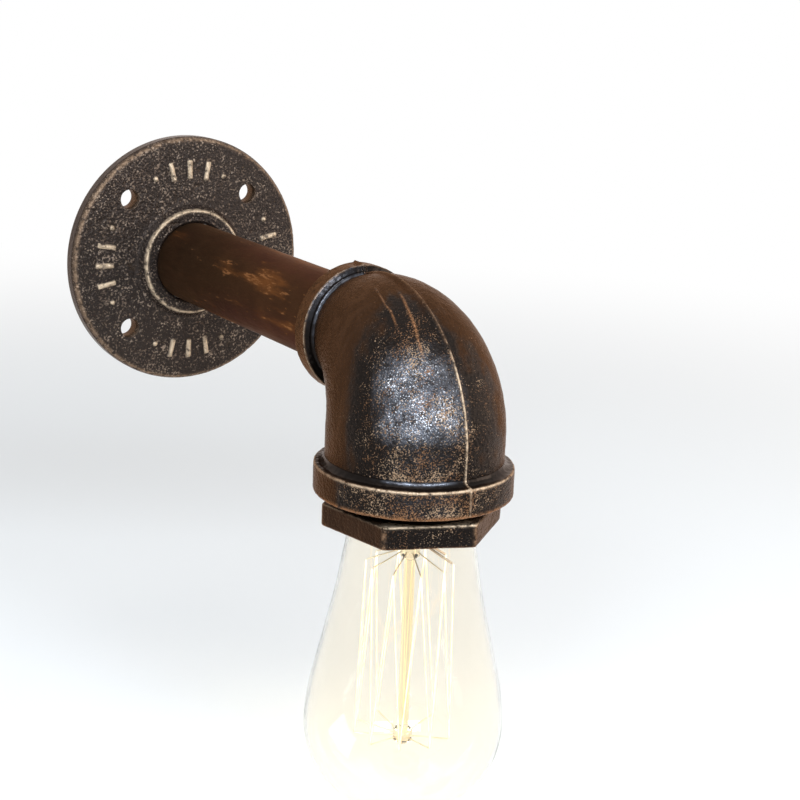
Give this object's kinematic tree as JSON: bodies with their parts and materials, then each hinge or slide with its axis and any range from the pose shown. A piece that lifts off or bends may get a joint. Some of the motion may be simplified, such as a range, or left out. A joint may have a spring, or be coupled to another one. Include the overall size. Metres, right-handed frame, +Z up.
{
  "type": "industrial pipe wall light",
  "caption": "Wall light of cast floor flange, level pipe arm, swivelling reducing elbow and hex bushing, with a clear cage-filament screw-in lamp hanging below.",
  "frame": {"origin": "centre of the floor flange's back face, on the wall plane", "axes": "+Z up, -Y out from the wall along the arm, +X to the right when facing the wall"},
  "size_m": [0.0838, 0.1811, 0.1804],
  "materials": {
    "cast_bronze": "orange-peel cast skin, black-brown with rubbed bronze",
    "pipe_bronze": "smooth satin black-brown with rubbed copper streaks",
    "black_rubber": "matte",
    "brass": "stamped, satin",
    "cap_brass": "drawn sheet, satin",
    "tinned_copper": "bright tinned",
    "spring_steel": "blackened",
    "earth_insulation": "green and yellow",
    "live_insulation": "brown",
    "neutral_insulation": "blue",
    "sleeving": "woven glass fibre",
    "porcelain": "glazed porcelain",
    "black_glass": "black vitrite",
    "cement": "basing cement",
    "clear_glass": "clear, faintly warm",
    "stem_glass": "clear lead glass",
    "filament": "fine coiled wire",
    "anchor_wire": "drawn wire"
  },
  "bodies": {
    "root": {"floor_flange": "cast_bronze", "arm_pipe": "pipe_bronze", "pipe_grommet": "black_rubber", "earth_screw": "brass", "earth_ring_terminal": "tinned_copper", "earth_wire": "earth_insulation", "earth_ferrule": "tinned_copper"},
    "head": {"reducing_elbow": "cast_bronze", "hex_bushing": "cast_bronze", "snap_ring": "spring_steel", "holder_insulator": "porcelain", "holder_screw_shell": "brass", "centre_contact": "brass", "side_contact": "brass", "live_terminal": "brass", "neutral_terminal": "brass", "terminal_screws": "brass", "contact_rivets": "brass", "live_wire": "live_insulation", "neutral_wire": "neutral_insulation", "wire_ferrules": "tinned_copper", "wire_sleeve": "sleeving"},
    "lamp_slide": {"lamp_cap_contact": "tinned_copper"},
    "lamp": {"lamp_cap_shell": "cap_brass", "lamp_cap_insulator": "black_glass", "lamp_cap_cement": "cement", "lamp_glass": "clear_glass", "lamp_stem": "stem_glass", "lamp_filament": "filament", "lamp_upper_anchors": "anchor_wire", "lamp_lower_anchors": "anchor_wire", "lamp_lead_wires": "anchor_wire"}
  },
  "joints": [
    {"name": "elbow_swivel", "type": "hinge", "parent": "root", "child": "head", "pos_m": [0, -0.1152, 0], "axis": [0, 1, 0], "range_deg": [-90, 90]},
    {"name": "lamp_travel", "type": "slide", "parent": "head", "child": "lamp_slide", "axis": [0, 0, -1], "range_m": [0, 0.01815]},
    {"name": "lamp_turn", "type": "hinge", "parent": "lamp_slide", "child": "lamp", "pos_m": [0, -0.1521, -0.0494], "axis": [0, 0, -1], "range_deg": [0, 1800]}
  ],
  "couplings": [
    {"joint": "lamp_travel", "follows": "lamp_turn", "m_per_rad": 0.00057757}
  ]
}
